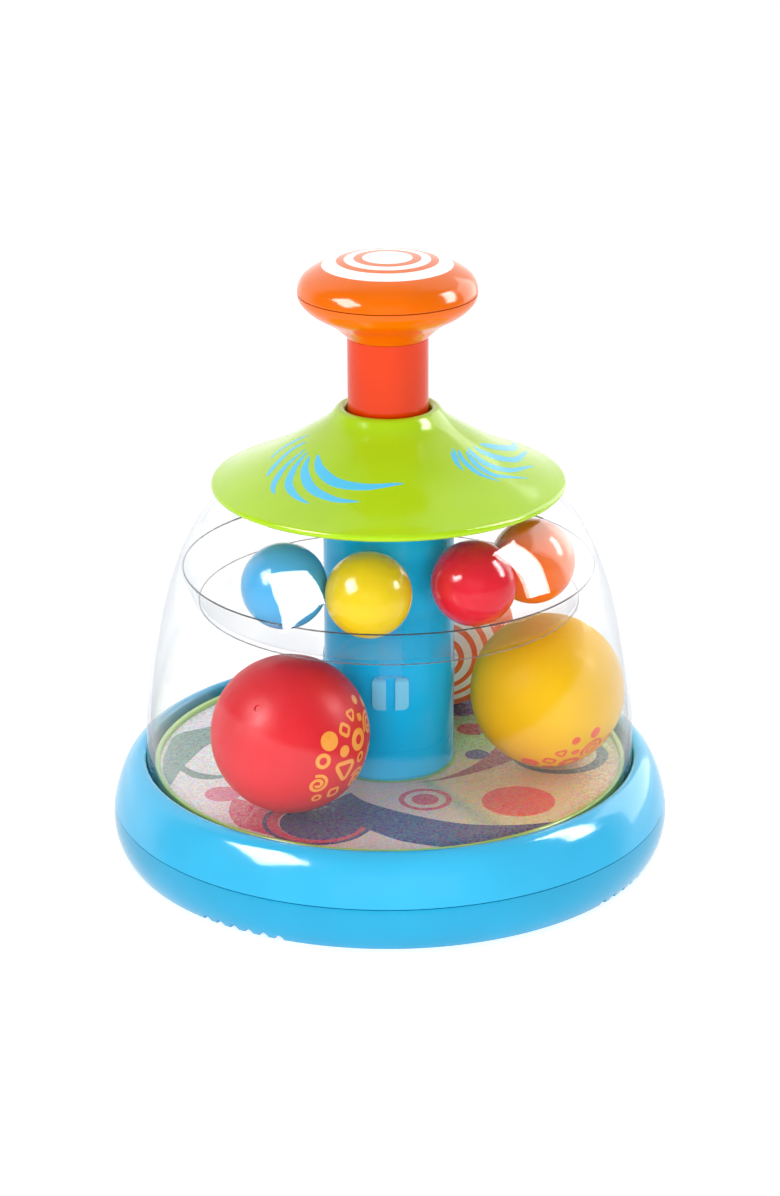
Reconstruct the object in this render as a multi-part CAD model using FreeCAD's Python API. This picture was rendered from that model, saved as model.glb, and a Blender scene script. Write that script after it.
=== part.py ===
import FreeCAD, Part
import math
import os

# A push-and-spin toy: pressing the knob drives a twisted rod through a nut, which spins the turntable,
# the column and the ball tray inside a clear dome. Millimetres, +Z up, origin on the ground on the axis.

# ---------------------------------------------------------------- driving dimensions
BASE_RADIUS = 108.4
PAN_TOP = 17.1
RING_BOTTOM = 17.5
FLOOR_BOTTOM = 2.6
FLOOR_TOP = 4.9
DOME_RADIUS = 95.3
DOME_WALL = 1.6
DOME_SEAT_TOP = 21.9
DOME_CROWN_TOP = 152.4
CROWN_BOTTOM = DOME_CROWN_TOP - DOME_WALL
COLLAR_HOLE_RADIUS = 16.3
STEM_RADIUS = 15.4
STEM_BORE = 13.0
STEM_FOOT_BOTTOM = 151.0
KNOB_PARTING = 220.4
SCREW_LEAD = 28.0
ROD_WIDTH = 9.0
ROD_THICKNESS = 3.2
ROD_SHAFT_RADIUS = 5.0
ROD_BOTTOM = 70.0
ROD_TWIST_TOP = 124.0
NUT_BOTTOM = 80.0
NUT_TOP = 93.0
NUT_RADIUS = 12.5
SLEEVE_BORE = 17.6
SLEEVE_RADIUS = 19.4
SLEEVE_LEDGE_TOP = 98.0
COLUMN_TOP = 141.5
COLUMN_RADIUS = 25.25
COLUMN_TOP_RADIUS = 25.1
COLUMN_SHELF_TOP = 70.5
TABLE_TOP = 31.5
TABLE_RADIUS = 92.3
LABEL_THICKNESS = 0.3
TRAY_FLOOR_TOP = 100.3
TRAY_FLOOR_BOTTOM = 98.3
TRAY_BORE = 25.23
PIN_RADIUS = 4.0
RUNNING_GAP = 0.06
BIG_BALL_RADIUS = 30.0
SMALL_BALL_RADIUS = 16.3
BALL_LIFT = 0.1

# name: distance from the axis, angle about the axis in degrees
BIG_BALLS = {
    "ball_large_red": (60.8, -128.0),
    "ball_large_yellow": (61.7, -5.0),
    "ball_large_orange": (61.5, 70.0),
}
SMALL_BALLS = {
    "ball_small_blue": (53.2, -137.4),
    "ball_small_yellow": (46.6, -99.3),
    "ball_small_red": (46.4, -46.6),
    "ball_small_orange": (55.8, -9.9),
}

ORIGIN = FreeCAD.Vector(0, 0, 0)
UP = FreeCAD.Vector(0, 0, 1)


# ---------------------------------------------------------------- helpers
def vector(point):
    """A profile point (radius, height) as a point in the XZ plane."""
    return FreeCAD.Vector(point[0], 0, point[1])


def straight(*points):
    vectors = [vector(p) for p in points]
    return [Part.makeLine(a, b) for a, b in zip(vectors, vectors[1:])]


def smooth(*points):
    spline = Part.BSplineCurve()
    spline.interpolate([vector(p) for p in points])
    return [spline.toShape()]


def arc(start, middle, end):
    return [Part.Arc(vector(start), vector(middle), vector(end)).toShape()]


def turned(edges):
    """The solid that a closed outline sweeps about the axis."""
    face = Part.Face(Part.Wire(edges))
    return face.revolve(ORIGIN, UP, 360)


def turned_polygon(*points):
    return turned(straight(*points, points[0]))


def tube(outer, inner, bottom, top):
    return turned_polygon((inner, bottom), (outer, bottom), (outer, top), (inner, top))


def rod(radius, bottom, top, x=0.0, y=0.0):
    return Part.makeCylinder(radius, top - bottom, FreeCAD.Vector(x, y, bottom))


def polar(distance, degrees):
    return distance * math.cos(math.radians(degrees)), distance * math.sin(math.radians(degrees))


def around(shape, count, first=0.0):
    """Copies of a shape, evenly spaced about the axis."""
    copies = []
    for index in range(count):
        copy = shape.copy()
        copy.rotate(ORIGIN, UP, first + index * 360.0 / count)
        copies.append(copy)
    return copies


def joined(shapes):
    first, *rest = shapes
    return first.fuse(rest).removeSplitter()


def rods_around(count, distance, first, radius, bottom, top):
    return around(rod(radius, bottom, top, distance), count, first)


def inset(points, distance):
    """Profile points moved sideways by a wall thickness, towards the left of the direction of travel."""
    moved = []
    for index, (radius, height) in enumerate(points):
        before = points[max(index - 1, 0)]
        after = points[min(index + 1, len(points) - 1)]
        along = math.hypot(after[0] - before[0], after[1] - before[1])
        across = (-(after[1] - before[1]) / along, (after[0] - before[0]) / along)
        moved.append((radius + across[0] * distance, height + across[1] * distance))
    return moved


def screws(count, distance, first, head_radius, head_bottom, head_top, shank_radius, tip, head_up=False):
    """Identical pan-head screws about the axis, each a separate solid with a cross recess in its head."""
    shank = rod(shank_radius, min(tip, head_bottom), max(tip, head_top), distance)
    body = rod(head_radius, head_bottom, head_top, distance).fuse(shank)
    depth = 0.45 * (head_top - head_bottom)
    bottom = head_top - depth if head_up else head_bottom
    slot_length, slot_width = 1.1 * head_radius, 0.28 * head_radius
    for length, width in ((slot_length, slot_width), (slot_width, slot_length)):
        corner = FreeCAD.Vector(distance - length / 2, -width / 2, bottom)
        body = body.cut(Part.makeBox(length, width, depth, corner))
    return Part.makeCompound(around(body, count, first))


# ---------------------------------------------------------------- base
PAN_BOTTOM_RADIUS = 105.0
RIM_INNER_RADIUS = 102.5
PAN_WALL = 2.4
PAN_EDGE_RADIUS = BASE_RADIUS - 0.1
NOTCH_RADIUS = 1.9
NOTCH_COUNT = 6
NOTCH_STEP = 3.5
NOTCH_GROUPS = (-121.7, -31.7, 58.3, 148.3)
RIB_INNER = 9.5
RIB_LENGTH = 86.0
RIB_WIDTH = 2.0
RIB_HEIGHT = 5.6
OVERLAP = 0.5
BASE_SCREW_COUNT = 6
BASE_SCREW_DISTANCE = 100.8
BASE_SCREW_START = 15.0
BASE_SCREW_RADIUS = 1.3
BASE_SCREW_HEAD_TOP = 8.0
FOOT_COUNT = 4
FOOT_DISTANCE = 86.0
FOOT_RADIUS = 7.0
FOOT_TOP = 3.6
PIN_BOTTOM = 8.0
PIN_TOP = 42.0
PIVOT_BOSS_TOP = 20.0
WASHER_TOP = 21.5


def grip_notches():
    """Groups of half-round notches in the pan's bottom edge."""
    start = FreeCAD.Vector(PAN_BOTTOM_RADIUS - 6.6, 0, 0.3)
    notch = Part.makeCylinder(NOTCH_RADIUS, 14.0, start, FreeCAD.Vector(1, 0, 0))
    notches = []
    for group_middle in NOTCH_GROUPS:
        for step in range(NOTCH_COUNT):
            copy = notch.copy()
            copy.rotate(ORIGIN, UP, group_middle + (step - (NOTCH_COUNT - 1) / 2) * NOTCH_STEP)
            notches.append(copy)
    return notches


def base_screw_rods(radius, bottom, top):
    return rods_around(BASE_SCREW_COUNT, BASE_SCREW_DISTANCE, BASE_SCREW_START, radius, bottom, top)


def base_pan():
    wall = smooth((PAN_BOTTOM_RADIUS, 0.0), (106.6, 2.6), (107.9, 6.0), (108.8, 12.0),
                  (PAN_EDGE_RADIUS, PAN_TOP))
    inner_edge = (PAN_EDGE_RADIUS - PAN_WALL, PAN_TOP)
    floor_corner = (103.4, FLOOR_TOP)
    shell = turned(
        straight((0, FLOOR_TOP), (0, FLOOR_BOTTOM), (RIM_INNER_RADIUS - 0.6, FLOOR_BOTTOM),
                 (RIM_INNER_RADIUS, 0), (PAN_BOTTOM_RADIUS, 0))
        + wall
        + straight((PAN_EDGE_RADIUS, PAN_TOP), inner_edge)
        + smooth(inner_edge, (106.4, 12.0), (105.2, 7.2), floor_corner)
        + straight(floor_corner, (0, FLOOR_TOP)))
    tongue = turned_polygon((103.6, 8.0), (106.0, 8.0), (107.2, 13.0), (107.4, PAN_TOP - 0.6),
                            (105.2, PAN_TOP - 0.6), (105.2, 19.4), (103.6, 19.4))
    dome_seat = tube(DOME_RADIUS + 1.3, DOME_RADIUS - 0.9, FLOOR_TOP - OVERLAP, DOME_SEAT_TOP)
    pivot_boss = rod(11.0, FLOOR_TOP - OVERLAP, PIVOT_BOSS_TOP)
    rib_corner = FreeCAD.Vector(RIB_INNER, -RIB_WIDTH / 2, FLOOR_TOP - OVERLAP)
    ribs = around(Part.makeBox(RIB_LENGTH, RIB_WIDTH, RIB_HEIGHT, rib_corner), BASE_SCREW_COUNT,
                  BASE_SCREW_START + 30)
    bosses = base_screw_rods(3.4, FLOOR_TOP - OVERLAP, RING_BOTTOM)
    pan = joined([shell, tongue, dome_seat, pivot_boss] + ribs + bosses)
    pan = pan.cut(base_screw_rods(1.6, 0, RING_BOTTOM + 1))
    pan = pan.cut(base_screw_rods(2.6, 0, BASE_SCREW_HEAD_TOP))
    pan = pan.cut(rods_around(FOOT_COUNT, FOOT_DISTANCE, 45, FOOT_RADIUS + 0.05, 0, FOOT_TOP))
    pan = pan.cut(rod(PIN_RADIUS + 0.02, PIN_BOTTOM, PIVOT_BOSS_TOP + 1))
    return pan.cut(grip_notches())


def base_ring():
    crest = smooth((BASE_RADIUS, RING_BOTTOM), (107.3, 21.8), (106.0, 25.7), (104.5, 29.1), (102.85, 31.9),
                   (101.05, 34.0), (99.2, 35.3), (97.2, 35.8), (96.0, 35.1), (95.7, 33.8))
    inside = smooth((97.9, 32.6), (99.6, 31.6), (101.2, 29.6), (102.6, 27.0), (104.0, 23.6), (105.2, 20.2),
                    (106.0, RING_BOTTOM))
    skirt_bottom = DOME_SEAT_TOP + 2.2
    shell = turned(
        crest
        + straight((95.7, 33.8), (95.7, skirt_bottom), (97.9, skirt_bottom), (97.9, 32.6))
        + inside
        + straight((106.0, RING_BOTTOM), (BASE_RADIUS, RING_BOTTOM)))
    ring = joined([shell] + base_screw_rods(2.9, RING_BOTTOM, 27.0))
    return ring.cut(base_screw_rods(BASE_SCREW_RADIUS + 0.05, 0, 25.0))


def base_screws():
    return screws(BASE_SCREW_COUNT, BASE_SCREW_DISTANCE, BASE_SCREW_START, 2.45, BASE_SCREW_HEAD_TOP - 2.2,
                  BASE_SCREW_HEAD_TOP, BASE_SCREW_RADIUS, 24.0)


def rubber_feet():
    foot = turned_polygon((0, 0), (FOOT_RADIUS - 0.8, 0), (FOOT_RADIUS, 0.8), (FOOT_RADIUS, FOOT_TOP),
                          (0, FOOT_TOP))
    foot.translate(FreeCAD.Vector(FOOT_DISTANCE, 0, 0))
    return Part.makeCompound(around(foot, FOOT_COUNT, 45))


def pivot_pin():
    return turned_polygon((0, PIN_BOTTOM), (PIN_RADIUS, PIN_BOTTOM), (PIN_RADIUS, PIN_TOP - 0.8),
                          (PIN_RADIUS - 0.8, PIN_TOP), (0, PIN_TOP))


def thrust_washer():
    return tube(10.0, PIN_RADIUS + 0.1, PIVOT_BOSS_TOP, WASHER_TOP)


# ---------------------------------------------------------------- dome and cap
CAP_SCREW_COUNT = 4
CAP_SCREW_DISTANCE = 33.0
CROWN_FLAT_RADIUS = 40.0
CROWN_HOLE_RADIUS = 28.5
DOME_PROFILE = [(DOME_RADIUS, DOME_SEAT_TOP + 2.2), (DOME_RADIUS + 0.05, 35.0), (95.1, 48.0), (93.8, 65.0),
                (90.8, 85.0), (86.1, 105.0), (80.5, 120.0), (73.8, 132.0), (63.0, 142.0), (52.0, 148.7),
                (46.0, 151.2), (CROWN_FLAT_RADIUS, DOME_CROWN_TOP)]
BUSH_TOP = 168.0
NECK_BOTTOM = 156.0


def dome():
    inside = inset(DOME_PROFILE, DOME_WALL)
    inside[0] = (DOME_RADIUS - DOME_WALL, DOME_SEAT_TOP + 2.2)
    inside[-1] = (CROWN_FLAT_RADIUS, CROWN_BOTTOM)
    shell = turned(
        smooth(*DOME_PROFILE)
        + straight(DOME_PROFILE[-1], (CROWN_HOLE_RADIUS, DOME_CROWN_TOP),
                   (CROWN_HOLE_RADIUS, CROWN_BOTTOM), inside[-1])
        + smooth(*reversed(inside))
        + straight(inside[0], (inside[0][0], DOME_SEAT_TOP), (97.6, DOME_SEAT_TOP),
                   (97.6, DOME_SEAT_TOP + 2.2), DOME_PROFILE[0]))
    return shell.cut(rods_around(CAP_SCREW_COUNT, CAP_SCREW_DISTANCE, 45, 2.0, 140, 160))


def cap():
    lip = arc((66.3, 144.7), (67.7, 146.1), (66.6, 147.5))
    flare = smooth((66.6, 147.5), (63.5, 148.7), (57.7, 151.4), (50.0, 154.9), (42.0, 159.1), (36.0, 162.8),
                   (30.2, 166.4), (24.4, 170.3), (20.9, 173.9), (19.7, 175.5), (18.3, 176.2), (16.9, 175.7),
                   (COLLAR_HOLE_RADIUS, 174.5))
    neck = straight((COLLAR_HOLE_RADIUS, 174.5), (COLLAR_HOLE_RADIUS, BUSH_TOP), (SLEEVE_BORE, BUSH_TOP),
                    (SLEEVE_BORE, NECK_BOTTOM), (20.0, NECK_BOTTOM), (20.0, 171.4))
    inside = smooth((20.0, 171.4), (22.5, 169.2), (27.0, 165.6), (32.5, 161.9), (38.5, 158.3),
                    (44.5, 155.0), (50.0, 152.2), (57.0, 148.8), (62.4, 146.3), (66.3, 144.7))
    seat_rib = tube(39.8, 37.6, DOME_CROWN_TOP, 159.4)
    bosses = rods_around(CAP_SCREW_COUNT, CAP_SCREW_DISTANCE, 45, 3.2, DOME_CROWN_TOP, 162.0)
    shell = joined([turned(lip + flare + neck + inside), seat_rib] + bosses)
    return shell.cut(rods_around(CAP_SCREW_COUNT, CAP_SCREW_DISTANCE, 45, 1.35, 140, 161.0))


def guide_bush():
    bore = STEM_RADIUS + RUNNING_GAP
    return turned_polygon((bore, 154.3), (19.8, 154.3), (19.8, NECK_BOTTOM),
                          (SLEEVE_BORE - 0.05, NECK_BOTTOM), (SLEEVE_BORE - 0.05, BUSH_TOP - 0.1),
                          (bore, BUSH_TOP - 0.1))


def dome_retainer():
    """Plate that clamps the dome to the cap, with a sleeve that holds the spring and centres the column."""
    body = turned_polygon((SLEEVE_BORE, SLEEVE_LEDGE_TOP), (9.0, SLEEVE_LEDGE_TOP),
                          (9.0, SLEEVE_LEDGE_TOP - 2.5), (SLEEVE_RADIUS, SLEEVE_LEDGE_TOP - 2.5),
                          (SLEEVE_RADIUS, 147.4), (38.0, 147.4), (38.0, CROWN_BOTTOM),
                          (CROWN_HOLE_RADIUS - 0.2, CROWN_BOTTOM), (CROWN_HOLE_RADIUS - 0.2, 152.2),
                          (20.6, 152.2), (20.6, 154.3), (SLEEVE_BORE, 154.3))
    return body.cut(rods_around(CAP_SCREW_COUNT, CAP_SCREW_DISTANCE, 45, 1.6, 140, 160))


def cap_screws():
    return screws(CAP_SCREW_COUNT, CAP_SCREW_DISTANCE, 45, 2.9, 145.4, 147.4, 1.3, 160.0)


# ---------------------------------------------------------------- plunger
WEB_BOTTOM = 196.0
WEB_TOP = 199.0


def twisted_bar(width, thickness, bottom, top):
    """A flat bar twisted about the axis by one turn per lead, right-handed, in step with height zero."""
    half_width, half_thickness = width / 2, thickness / 2
    corners = [(-half_width, -half_thickness), (half_width, -half_thickness), (half_width, half_thickness),
               (-half_width, half_thickness), (-half_width, -half_thickness)]
    section = Part.makePolygon([FreeCAD.Vector(x, y, 0) for x, y in corners])
    guide = Part.makeHelix(SCREW_LEAD, top - bottom, width)
    spine = Part.Wire(Part.makeLine(ORIGIN, FreeCAD.Vector(0, 0, top - bottom)))
    sweep = Part.BRepOffsetAPI.MakePipeShell(spine)
    sweep.setAuxiliarySpine(Part.Wire(guide), True, 0)
    sweep.add(section)
    sweep.build()
    sweep.makeSolid()
    bar = sweep.shape()
    bar.rotate(ORIGIN, UP, 360.0 * bottom / SCREW_LEAD)
    bar.translate(FreeCAD.Vector(0, 0, bottom))
    return bar


def plunger_stem():
    body = turned_polygon((STEM_BORE, STEM_FOOT_BOTTOM), (17.2, STEM_FOOT_BOTTOM), (17.2, 154.0),
                          (STEM_RADIUS, 154.0), (STEM_RADIUS, 203.3), (14.4, 203.3), (14.4, 212.4),
                          (STEM_BORE, 212.4), (STEM_BORE, WEB_TOP), (1.7, WEB_TOP), (1.7, WEB_BOTTOM),
                          (STEM_BORE, WEB_BOTTOM))
    return body


def knob_base():
    rim = KNOB_PARTING - 0.2
    outside = smooth((15.6, 203.5), (18.0, 205.8), (21.0, 208.3), (25.0, 210.8), (29.0, 213.2),
                     (32.0, 215.9), (33.5, 218.2), (33.9, rim))
    inside = smooth((31.8, rim), (30.8, 217.8), (28.0, 215.2), (24.5, 213.1), (21.0, 211.2))
    return turned(
        outside
        + straight((33.9, rim), (31.8, rim))
        + inside
        + straight((21.0, 211.2), (16.6, 210.6), (16.6, 212.4), (14.45, 212.4), (14.45, 203.5),
                   (15.6, 203.5)))


def knob_top():
    rim = KNOB_PARTING + 0.2
    crown = [(34.0, rim), (33.6, 223.1), (32.2, 225.9), (29.0, 228.5), (24.7, 230.7), (19.3, 232.25),
             (12.7, 233.15), (6.0, 233.55), (0.0, 233.65)]
    inside = inset(crown, 2.2)
    inside[0] = (31.8, rim)
    inside[-1] = (0.0, crown[-1][1] - 2.2)
    shell = turned(smooth(*crown) + straight(crown[-1], inside[-1]) + smooth(*reversed(inside))
                   + straight(inside[0], crown[0]))
    snap_ring = tube(30.2, 28.6, 218.4, 227.4)
    return joined([shell, snap_ring])


def twisted_rod():
    shaft = rod(ROD_SHAFT_RADIUS, ROD_TWIST_TOP, 193.0)
    head = rod(10.0, 193.0, WEB_BOTTOM)
    body = joined([twisted_bar(ROD_WIDTH, ROD_THICKNESS, ROD_BOTTOM, ROD_TWIST_TOP), shaft, head])
    return body.cut(rod(1.35, 180.0, WEB_BOTTOM + 1))


def rod_screw():
    return screws(1, 0, 0, 4.2, WEB_TOP, WEB_TOP + 2.4, 1.3, 182.0, head_up=True)


def return_spring():
    wire_radius, coil_radius = 0.7, 15.2
    bottom = SLEEVE_LEDGE_TOP + wire_radius
    height = STEM_FOOT_BOTTOM - SLEEVE_LEDGE_TOP - 2 * wire_radius
    path = Part.makeHelix(height / 8.0, height, coil_radius)
    circle = Part.Circle(FreeCAD.Vector(coil_radius, 0, 0), FreeCAD.Vector(0, 1, 0), wire_radius)
    spring = Part.Wire(path).makePipeShell([Part.Wire(circle.toShape())], True, True)
    spring.translate(FreeCAD.Vector(0, 0, bottom))
    return spring


# ---------------------------------------------------------------- one-way clutch
TOOTH_COUNT = 8
TOOTH_HEIGHT = 1.8
TOOTH_INNER = 9.0
HUB_TOP = 75.2
HUB_SCREW_DISTANCE = 18.0


def clutch_teeth(base_height, direction):
    """A ring of saw teeth standing up (direction 1) or hanging down (direction -1) from a height."""
    tip = base_height + direction * TOOTH_HEIGHT
    root = base_height - direction * 0.4
    points = [(-3.5, root), (3.5, root), (3.5, base_height), (-3.5, tip)]
    if direction < 0:
        points = [(-3.5, root), (3.5, root), (3.5, tip), (-3.5, base_height)]
    corners = [FreeCAD.Vector(TOOTH_INNER - 1, y, z) for y, z in points]
    face = Part.Face(Part.makePolygon(corners + [corners[0]]))
    wedge = face.extrude(FreeCAD.Vector(6, 0, 0))
    band = tube(NUT_RADIUS, TOOTH_INNER, min(root, tip), max(root, tip))
    return [tooth.common(band) for tooth in around(wedge, TOOTH_COUNT)]


def drive_nut():
    body = tube(NUT_RADIUS, 1.0, NUT_BOTTOM, NUT_TOP).fuse(rod(1.2, NUT_BOTTOM, NUT_TOP))
    body = joined([body] + clutch_teeth(NUT_BOTTOM, -1))
    slot = twisted_bar(ROD_WIDTH + 0.5, ROD_THICKNESS + 0.5, NUT_BOTTOM - 4, NUT_TOP + 4)
    return body.cut(slot)


def clutch_hub():
    body = joined([tube(21.9, 8.0, COLUMN_SHELF_TOP, HUB_TOP)] + clutch_teeth(HUB_TOP, 1))
    return body.cut(rods_around(3, HUB_SCREW_DISTANCE, 0, 1.5, 60, 80))


def hub_screws():
    return screws(3, HUB_SCREW_DISTANCE, 0, 2.6, HUB_TOP, HUB_TOP + 1.8, 1.2, 63.0, head_up=True)


# ---------------------------------------------------------------- rotor
COLUMN_SCREW_DISTANCE = 18.0
COLUMN_FOOT_TOP = 44.2
LABEL_TOP = TABLE_TOP + LABEL_THICKNESS


def turntable():
    disc = turned_polygon((8.0, 29.0), (90.4, 29.0), (90.4, 26.0), (TABLE_RADIUS, 26.0),
                          (TABLE_RADIUS, 33.2), (91.9, 33.6), (90.9, 33.6), (90.5, 33.2),
                          (90.5, TABLE_TOP), (8.0, TABLE_TOP))
    hub = tube(9.0, PIN_RADIUS + RUNNING_GAP, WASHER_TOP + 0.05, 43.0)
    rib = Part.makeBox(82.5, 1.6, 4.5, FreeCAD.Vector(8.5, -0.8, 25.0))
    table = joined([disc, hub] + around(rib, 8, 22.5))
    return table.cut(rods_around(4, COLUMN_SCREW_DISTANCE, 0, 1.6, 20, 40))


def turntable_label():
    return tube(90.1, 25.9, TABLE_TOP, LABEL_TOP)


def column_foot():
    outer = arc((23.6, LABEL_TOP), (24.8, 32.6), (25.3, 34.4))
    body = turned(
        outer
        + straight((25.3, 34.4), (COLUMN_RADIUS, COLUMN_FOOT_TOP - 0.3), (25.0, COLUMN_FOOT_TOP),
                   (23.2, COLUMN_FOOT_TOP), (23.2, 34.4), (13.0, 34.4), (13.0, TABLE_TOP),
                   (23.6, TABLE_TOP), (23.6, LABEL_TOP)))
    bosses = rods_around(4, COLUMN_SCREW_DISTANCE, 0, 3.0, 34.0, 41.0)
    foot = joined([body] + bosses)
    return foot.cut(rods_around(4, COLUMN_SCREW_DISTANCE, 0, 1.35, 30, 40.5))


def column_screws():
    return screws(4, COLUMN_SCREW_DISTANCE, 0, 2.8, 26.9, 29.0, 1.3, 40.0)


def column():
    shelf_bottom = COLUMN_SHELF_TOP - 3.0
    foot_line = COLUMN_FOOT_TOP + 0.1
    tube_wall = turned_polygon((21.3, 42.0), (23.15, 42.0), (23.15, foot_line), (COLUMN_RADIUS, foot_line),
                               (COLUMN_TOP_RADIUS, COLUMN_TOP), (21.3, COLUMN_TOP), (21.3, 134.0),
                               (22.9, 130.0), (22.9, 49.0), (21.3, 46.0))
    shelf = tube(23.2, 14.0, shelf_bottom, COLUMN_SHELF_TOP)
    bosses = rods_around(3, HUB_SCREW_DISTANCE, 0, 2.8, 61.0, COLUMN_SHELF_TOP)
    body = joined([tube_wall, shelf] + bosses)
    return body.cut(rods_around(3, HUB_SCREW_DISTANCE, 0, 1.25, 62.0, 80.0))


def top_bearing():
    """Nylon ring pressed into the top of the column, running on the fixed sleeve."""
    bore = SLEEVE_RADIUS + RUNNING_GAP
    return turned_polygon((bore, 136.0), (21.25, 136.0), (21.25, COLUMN_TOP), (22.9, COLUMN_TOP),
                          (22.9, 143.0), (bore, 143.0))


def ball_tray():
    under = straight((TRAY_BORE, TRAY_FLOOR_BOTTOM), (69.8, TRAY_FLOOR_BOTTOM)) \
        + arc((69.8, TRAY_FLOOR_BOTTOM), (73.6, 99.6), (75.7, 102.6)) \
        + straight((75.7, 102.6), (79.9, 112.6))
    rim = arc((79.9, 112.6), (79.1, 113.7), (78.1, 113.0))
    over = straight((78.1, 113.0), (74.1, 103.4)) \
        + arc((74.1, 103.4), (72.5, 101.1), (69.8, TRAY_FLOOR_TOP)) \
        + straight((69.8, TRAY_FLOOR_TOP), (TRAY_BORE, TRAY_FLOOR_TOP), (TRAY_BORE, TRAY_FLOOR_BOTTOM))
    return turned(under + rim + over)


def tray_clips():
    """Three pairs of snap tabs, each pair on a strip that hangs from the tray along the column."""
    tab_height, tab_width, tab_gap = 13.3, 5.3, 3.5
    tab_bottom = 62.2
    tab_top = tab_bottom + tab_height
    strip_width = 9.0
    clips = []
    for direction in (-89.0, 31.0, 151.0):
        corner = FreeCAD.Vector(21.0, -strip_width / 2, tab_top)
        pieces = [Part.makeBox(8.0, strip_width, TRAY_FLOOR_BOTTOM - tab_top, corner)]
        for side in (-1, 1):
            middle = side * (tab_gap + tab_width) / 2
            corner = FreeCAD.Vector(21.0, middle - tab_width / 2, tab_bottom)
            tab = Part.makeBox(8.0, tab_width, tab_height, corner)
            outer_edges = [edge for edge in tab.Edges
                           if edge.BoundBox.XLength > 5 and abs(edge.BoundBox.YMin) > abs(middle)]
            pieces.append(tab.makeFillet(2.2, outer_edges))
        clip = joined(pieces).common(tube(26.6, 25.32, tab_bottom - 1, TRAY_FLOOR_BOTTOM))
        clip.rotate(ORIGIN, UP, direction)
        clips.append(clip)
    return Part.makeCompound(clips)


# ---------------------------------------------------------------- balls
def ball(radius, wall, floor, distance, degrees, valve=None):
    """A hollow ball lying on a floor, with a small valve dimple in the direction given, if any."""
    x, y = polar(distance, degrees)
    middle = FreeCAD.Vector(x, y, floor + radius + BALL_LIFT)
    shell = Part.makeSphere(radius, middle).cut(Part.makeSphere(radius - wall, middle))
    if valve:
        outwards = FreeCAD.Vector(*valve).normalize()
        shell = shell.cut(Part.makeCylinder(1.3, 2.0, middle + outwards * (radius - 0.7), outwards))
    return shell


VALVES = {
    "ball_large_red": (-0.375, -0.687, 0.623),
    "ball_large_yellow": (0.3, 0.8, 0.5),
    "ball_large_orange": (0.2, 0.9, 0.3),
}

# ---------------------------------------------------------------- write every sub-part
SUB_PARTS = {make.__name__: make for make in (
    base_pan, base_ring, base_screws, rubber_feet, pivot_pin, thrust_washer, dome, cap, guide_bush,
    dome_retainer, cap_screws, plunger_stem, knob_base, knob_top, twisted_rod, rod_screw, return_spring,
    drive_nut, clutch_hub, hub_screws, turntable, turntable_label, column_foot, column_screws, column,
    top_bearing, ball_tray, tray_clips)}


def main():
    os.makedirs("parts", exist_ok=True)
    shapes = {name: make() for name, make in SUB_PARTS.items()}
    for name, (distance, degrees) in BIG_BALLS.items():
        shapes[name] = ball(BIG_BALL_RADIUS, 1.2, LABEL_TOP, distance, degrees, VALVES[name])
    for name, (distance, degrees) in SMALL_BALLS.items():
        shapes[name] = ball(SMALL_BALL_RADIUS, 1.0, TRAY_FLOOR_TOP, distance, degrees)
    for name, shape in shapes.items():
        shape.exportStep(f"parts/{name}.step")
        print(name, "solids", len(shape.Solids), "valid", shape.isValid(), "volume", round(shape.Volume))


main()
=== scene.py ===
import math

import bmesh
import bpy
from mathutils import Matrix, Vector


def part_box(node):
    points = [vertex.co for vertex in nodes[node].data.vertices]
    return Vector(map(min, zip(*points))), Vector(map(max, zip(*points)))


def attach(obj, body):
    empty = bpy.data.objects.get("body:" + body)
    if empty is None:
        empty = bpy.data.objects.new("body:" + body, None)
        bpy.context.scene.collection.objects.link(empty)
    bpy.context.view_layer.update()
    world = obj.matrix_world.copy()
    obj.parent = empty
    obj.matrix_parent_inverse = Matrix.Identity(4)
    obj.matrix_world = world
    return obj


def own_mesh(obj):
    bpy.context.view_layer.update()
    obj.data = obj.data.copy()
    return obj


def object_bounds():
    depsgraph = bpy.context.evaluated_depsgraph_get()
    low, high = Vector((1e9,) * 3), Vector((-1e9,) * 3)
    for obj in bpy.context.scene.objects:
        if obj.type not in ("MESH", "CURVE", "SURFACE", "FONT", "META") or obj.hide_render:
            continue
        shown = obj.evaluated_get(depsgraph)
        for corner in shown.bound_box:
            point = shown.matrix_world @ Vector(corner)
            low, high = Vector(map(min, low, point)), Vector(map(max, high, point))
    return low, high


# Looks for a push-and-spin ball toy: clear dome, glitter label, printed balls, printed cap and knob.
# Artwork is drawn in millimetres and turned into thin closed pieces that lie on the frame's parts.

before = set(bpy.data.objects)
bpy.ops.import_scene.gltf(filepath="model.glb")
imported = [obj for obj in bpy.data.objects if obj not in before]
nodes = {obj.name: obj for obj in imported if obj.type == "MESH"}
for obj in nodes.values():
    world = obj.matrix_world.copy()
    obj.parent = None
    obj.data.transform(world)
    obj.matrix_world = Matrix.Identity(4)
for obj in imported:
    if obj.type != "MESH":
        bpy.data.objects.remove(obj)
cad_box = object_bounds()
MM = 0.001
HEIGHT = cad_box[1].z


# ---------------------------------------------------------------- camera, lights and floor
VIEW_ELEVATION = 20.4
VIEW_DISTANCE = 5.274 * HEIGHT
AIM = Vector((0.0004, 0, 0.4207 * HEIGHT))
LENS = 95.9
ROLL = -0.25
CLEAR_LAYERS = 32
LAMP_TARGET = Vector((0, 0, 0.1))
FLOOR_HALF = 4.0
FLOOR_GREY = 0.6
FLOOR_GLOW = 0.66

# The surroundings' brightness above and below the horizon goes from the first value to the second
# as the direction's Y goes from the third to the fourth.
ABOVE = (0.15, 1.4, 0.12, 0.5)
BELOW = (1.0, 1.1, -0.15, 0.12)
HORIZON = (-0.16, -0.13)


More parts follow.
